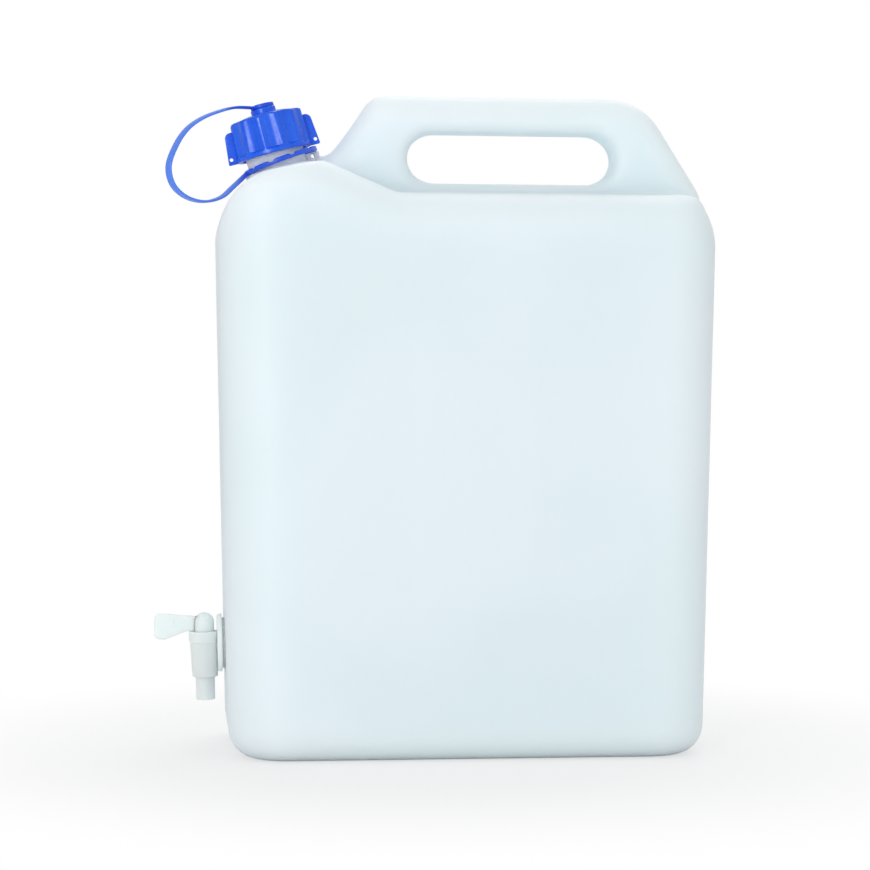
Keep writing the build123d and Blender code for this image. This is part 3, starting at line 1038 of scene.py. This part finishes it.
def tap_barrel():
    """The tapered barrel with its thicker top band."""
    band = BARREL_TOP - BARREL_BAND
    band_radius = BARREL_TOP_RADIUS + BARREL_BAND_RISE
    return lathe(rounded([
        (SEAT_BOTTOM_RADIUS, BARREL_BOTTOM, 0.0002),
        (BARREL_BOTTOM_RADIUS, BARREL_BOTTOM, 0.0009),
        (BARREL_TOP_RADIUS - BARREL_BAND_STEP, band - BARREL_BAND_RAMP, 0.0002),
        (band_radius, band, 0.0003),
        (band_radius, BARREL_TOP, 0.0005),
        (SEAT_TOP_RADIUS, BARREL_TOP, 0.0002),
    ]), 96)


def tap_web():
    """The flat web between flange and barrel, as long as the flange is high."""
    foot = FLANGE_LOW + WEB_ROOT
    end = BARREL_OFFSET - SEAT_TOP_RADIUS
    return plate(
        rounded([
            (foot, WEB_FOOT_LOW, 0),
            (end + WEB_END_SLOPE[0], WEB_END_LOW, 0),
            (end - WEB_END_SLOPE[1], BARREL_TOP - WEB_END_DROP, 0),
            (foot, BARREL_TOP + WEB_FOOT_RISE, 0),
        ]),
        WEB_THICKNESS, WEB_EDGE,
    )


def tap_body():
    """The tap's body: threaded tail, flange, inlet and tapered barrel."""
    part = joined(
        placed(tap_inlet(), ALONG_X),
        placed(tap_barrel(), Matrix.Translation((BARREL_OFFSET, 0, 0))),
        placed(tap_web(), UPRIGHT),
    )
    return piece("tap_housing", placed(part, TAP), "can", "tap", TAP_PLASTIC, "tap_body")


def key_stem():
    """The turned part of the key: spout, tapered plug and domed hub."""
    body = rounded([
        (0, INLET_RADIUS, 0),
        (SPOUT_BORE, INLET_RADIUS, 0),
        (SPOUT_BORE, SPOUT_END, 0.0004),
        (SPOUT_RADIUS, SPOUT_END, 0.0006),
        (SPOUT_RADIUS, BARREL_BOTTOM, 0),
        (SEAT_BOTTOM_RADIUS - RUNNING_GAP, BARREL_BOTTOM, 0),
        (SEAT_TOP_RADIUS - RUNNING_GAP, BARREL_TOP, 0),
        (HUB_RADIUS, BARREL_TOP, 0.0004),
    ])
    return lathe(body + dome(HUB_RADIUS, HUB_SHOULDER, HUB_TOP, 14), 96)


def key_lever():
    """The flat thumb lever."""
    root = HUB_RADIUS / 3
    outline = rounded([
        (root, LEVER_NECK[1], 0), LEVER_NECK, LEVER_BELLY, LEVER_FOOT, LEVER_TIP,
        (root, LEVER_ROOT_TOP, 0),
    ])
    return placed(plate(spread(outline, LEVER_STEP), LEVER_THICKNESS, LEVER_EDGE), UPRIGHT)


def tap_key():
    """The tap's key: spout, tapered plug, domed hub and thumb lever."""
    part = placed(joined(key_stem(), key_lever()), PLUG)
    return piece("tap_key_mould", part, "tap_key", "tap", KEY_PLASTIC, "tap_plug")


def carried_over():
    """The CAD nodes that stay get their material."""
    for name in ("cap_gasket", "tap_washer"):
        finished(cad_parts[name], SEAL_RUBBER, PIECE_SHARP)


# Stage

def floor_paint():
    """Pale matt paint that the camera sees as white away from the object."""
    nodes = Nodes("floor_paint")
    tint = nodes.spread(nodes.noise(3.0), 0.3, 0.7, 0.0, 1.0)
    colour = nodes.mix(tint, (0.86, 0.86, 0.86, 1), (0.88, 0.88, 0.88, 1))
    paint = nodes.finish(colour, Roughness=0.9, Specular_IOR_Level=0.1)
    glow = nodes.add("ShaderNodeEmission")
    glow.inputs["Color"].default_value = WHITE
    glow.inputs["Strength"].default_value = 1.0
    away = nodes.add("ShaderNodeVectorMath", operation="LENGTH")
    nodes.join(nodes.object_place, away.inputs[0])
    fade = nodes.spread(away.outputs["Value"], FLOOR_NEAR, FLOOR_FAR, FLOOR_NEAR_GLOW, 1.0)
    path = nodes.add("ShaderNodeLightPath")
    blend = nodes.add("ShaderNodeMixShader")
    nodes.join(nodes.maths("MULTIPLY", path.outputs["Is Camera Ray"], fade), blend.inputs["Fac"])
    nodes.join(nodes.shader.outputs["BSDF"], blend.inputs[1])
    nodes.join(glow.outputs["Emission"], blend.inputs[2])
    output = next(n for n in nodes.tree.nodes if n.type == "OUTPUT_MATERIAL")
    nodes.join(blend.outputs["Shader"], output.inputs["Surface"])
    return paint


def floor():
    """The pale floor."""
    size = FLOOR_SIZE
    data = bpy.data.meshes.new("floor")
    corners = [(-size, -size, 0), (size, -size, 0), (size, size, 0), (-size, size, 0)]
    data.from_pydata(corners, [], [(0, 1, 2, 3)])
    data.materials.append(floor_paint())
    added("floor", data)


def surround():
    """A world that is white to the camera and lights the object more softly."""
    world = bpy.data.worlds.new("surround")
    bpy.context.scene.world = world
    world.use_nodes = True
    tree = world.node_tree
    tree.nodes.clear()
    mix = tree.nodes.new("ShaderNodeMixShader")
    path = tree.nodes.new("ShaderNodeLightPath")
    tree.links.new(path.outputs["Is Camera Ray"], mix.inputs["Fac"])
    for place, strength in ((1, WORLD_FILL), (2, 1.0)):
        background = tree.nodes.new("ShaderNodeBackground")
        background.inputs["Color"].default_value = WHITE
        background.inputs["Strength"].default_value = strength
        tree.links.new(background.outputs["Background"], mix.inputs[place])
    output = tree.nodes.new("ShaderNodeOutputWorld")
    tree.links.new(mix.outputs["Shader"], output.inputs["Surface"])


def stage():
    """A pale floor, a white surround and soft studio light."""
    floor()
    surround()
    for name, place, size, power in LAMPS:
        add_light(name, place, size, power)


def add_light(name, place, size, power):
    """A soft square lamp that faces the object's middle."""
    lamp = bpy.data.lights.new(name, "AREA")
    lamp.shape = "SQUARE"
    lamp.size = size
    lamp.energy = power
    thing = added(name, lamp)
    thing.location = place
    aim = CAMERA_TARGET - Vector(place)
    thing.rotation_euler = aim.to_track_quat("-Z", "Y").to_euler()


def camera():
    """The camera at the photograph's angle."""
    data = bpy.data.cameras.new("camera")
    data.sensor_width = SENSOR_WIDTH
    data.lens = SENSOR_WIDTH * FOCAL_PIXELS / IMAGE_WIDTH
    data.shift_x = (IMAGE_WIDTH / 2 - TARGET_PIXEL[0]) / IMAGE_WIDTH
    data.shift_y = (TARGET_PIXEL[1] - IMAGE_WIDTH / 2) / IMAGE_WIDTH
    thing = added("camera", data)
    level = cos(CAMERA_ELEVATION)
    ahead = Vector((
        sin(CAMERA_AZIMUTH) * level, cos(CAMERA_AZIMUTH) * level, -sin(CAMERA_ELEVATION)
    ))
    thing.location = CAMERA_TARGET - ahead * CAMERA_DISTANCE
    roll = Matrix.Rotation(CAMERA_ROLL, 4, "Z")
    thing.rotation_euler = (ahead.to_track_quat("-Z", "Y").to_matrix().to_4x4() @ roll).to_euler()
    bpy.context.scene.camera = thing


camera()
stage()
can_shell()
can_neck()
screw_cap()
cap_strap()
tap_body()
tap_key()
carried_over()

bpy.context.scene.view_settings.view_transform = "Standard"
